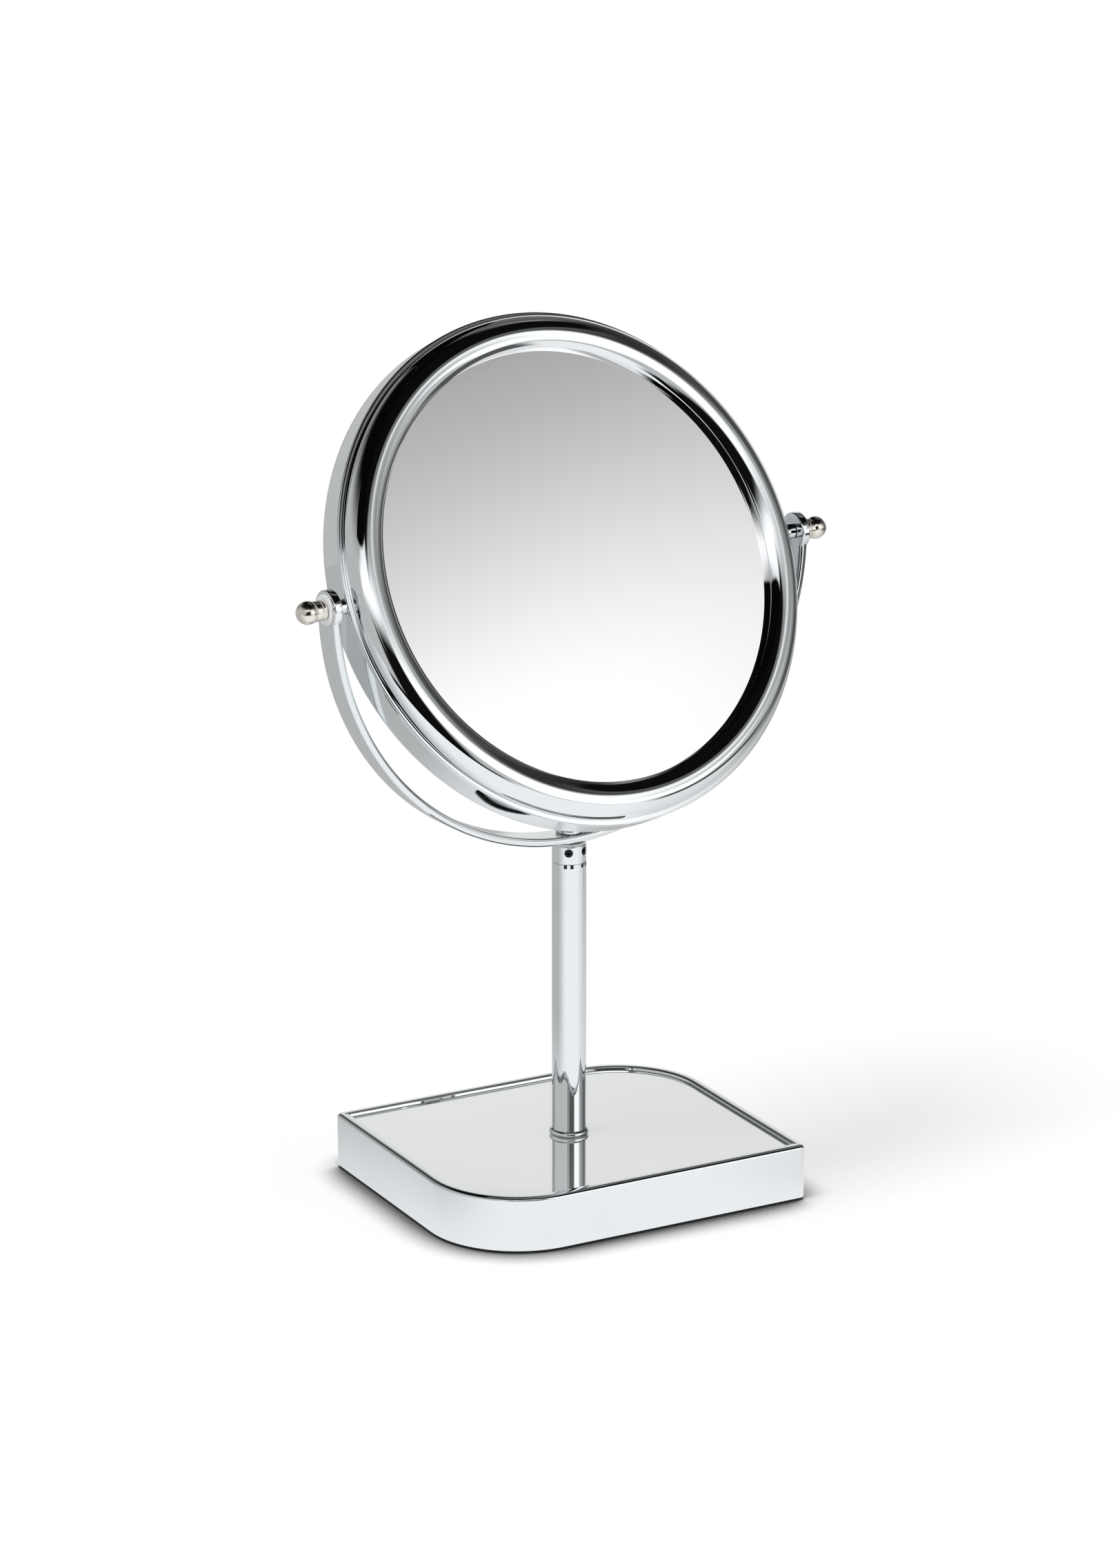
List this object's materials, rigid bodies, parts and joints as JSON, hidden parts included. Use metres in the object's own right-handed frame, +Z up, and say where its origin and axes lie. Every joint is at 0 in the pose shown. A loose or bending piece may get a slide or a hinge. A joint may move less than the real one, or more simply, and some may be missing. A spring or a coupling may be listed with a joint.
{
  "type": "shaving mirror",
  "caption": "Round two-sided shaving mirror that tilts in a half-ring yoke on an extendable round post, with a weighted base topped by mirror glass.",
  "frame": {"origin": "middle of the underside of the base's pad, on the surface that the mirror stands on and on the post's axis", "axes": "+Z up along the post, front towards -Y, +X to the right as seen from the front"},
  "size_m": [0.2272, 0.114, 0.3237],
  "materials": {
    "chrome": "bright chrome plating, polished",
    "mirror_glass": "silvered float glass, polished",
    "nickel": "warm nickel plating, polished",
    "zinc_steel": "zinc-plated steel",
    "black_steel": "black oxide",
    "cast_iron": "sealed casting",
    "pad_rubber": "matt non-slip sheet",
    "foam": "closed-cell foam sheet",
    "white_nylon": "natural nylon",
    "black_nylon": "black nylon",
    "black_plastic": "moulded plastic"
  },
  "bodies": {
    "base": {"base_pad": "pad_rubber", "base_band": "chrome", "flange_screws": "zinc_steel", "ballast": "cast_iron", "base_foam": "foam", "base_glass": "mirror_glass", "base_bolt": "zinc_steel", "base_washer": "zinc_steel", "post_plug": "zinc_steel", "post_tube": "chrome", "post_collar": "chrome", "guide_bush": "black_nylon"},
    "mast": {"friction_sleeve": "white_nylon", "sliding_tube": "chrome", "mast_cap": "chrome", "lock_screw": "black_steel", "swivel_washer": "white_nylon", "wave_washer": "zinc_steel", "yoke_bolt": "chrome"},
    "yoke": {"yoke": "chrome", "left_washer": "white_nylon", "right_washer": "white_nylon"},
    "head": {"drum": "chrome", "front_bezel": "chrome", "rear_bezel": "chrome", "front_glass": "mirror_glass", "rear_glass": "mirror_glass", "carrier": "black_plastic", "front_foam": "foam", "rear_foam": "foam", "left_nut": "zinc_steel", "right_nut": "zinc_steel", "left_spacer": "chrome", "right_spacer": "chrome"},
    "left_knob": {"left_knob": "nickel"},
    "right_knob": {"right_knob": "nickel"}
  },
  "joints": [
    {"name": "mast_slide", "type": "slide", "parent": "base", "child": "mast", "axis": [0, 0, 1], "range_m": [0, 0.06]},
    {"name": "yoke_swing", "type": "hinge", "parent": "mast", "child": "yoke", "pos_m": [0, 0, 0.1345], "axis": [0, 0, 1], "continuous": true},
    {"name": "head_tilt", "type": "hinge", "parent": "yoke", "child": "head", "pos_m": [0, 0, 0.2371], "axis": [-0.9962, -0.0872, 0], "continuous": true},
    {"name": "left_knob_turn", "type": "hinge", "parent": "head", "child": "left_knob", "pos_m": [0, 0, 0.2371], "axis": [-0.9962, -0.0872, 0], "range_deg": [0, 360]},
    {"name": "right_knob_turn", "type": "hinge", "parent": "head", "child": "right_knob", "pos_m": [0, 0, 0.2371], "axis": [0.9962, 0.0872, 0], "range_deg": [0, 360]}
  ]
}
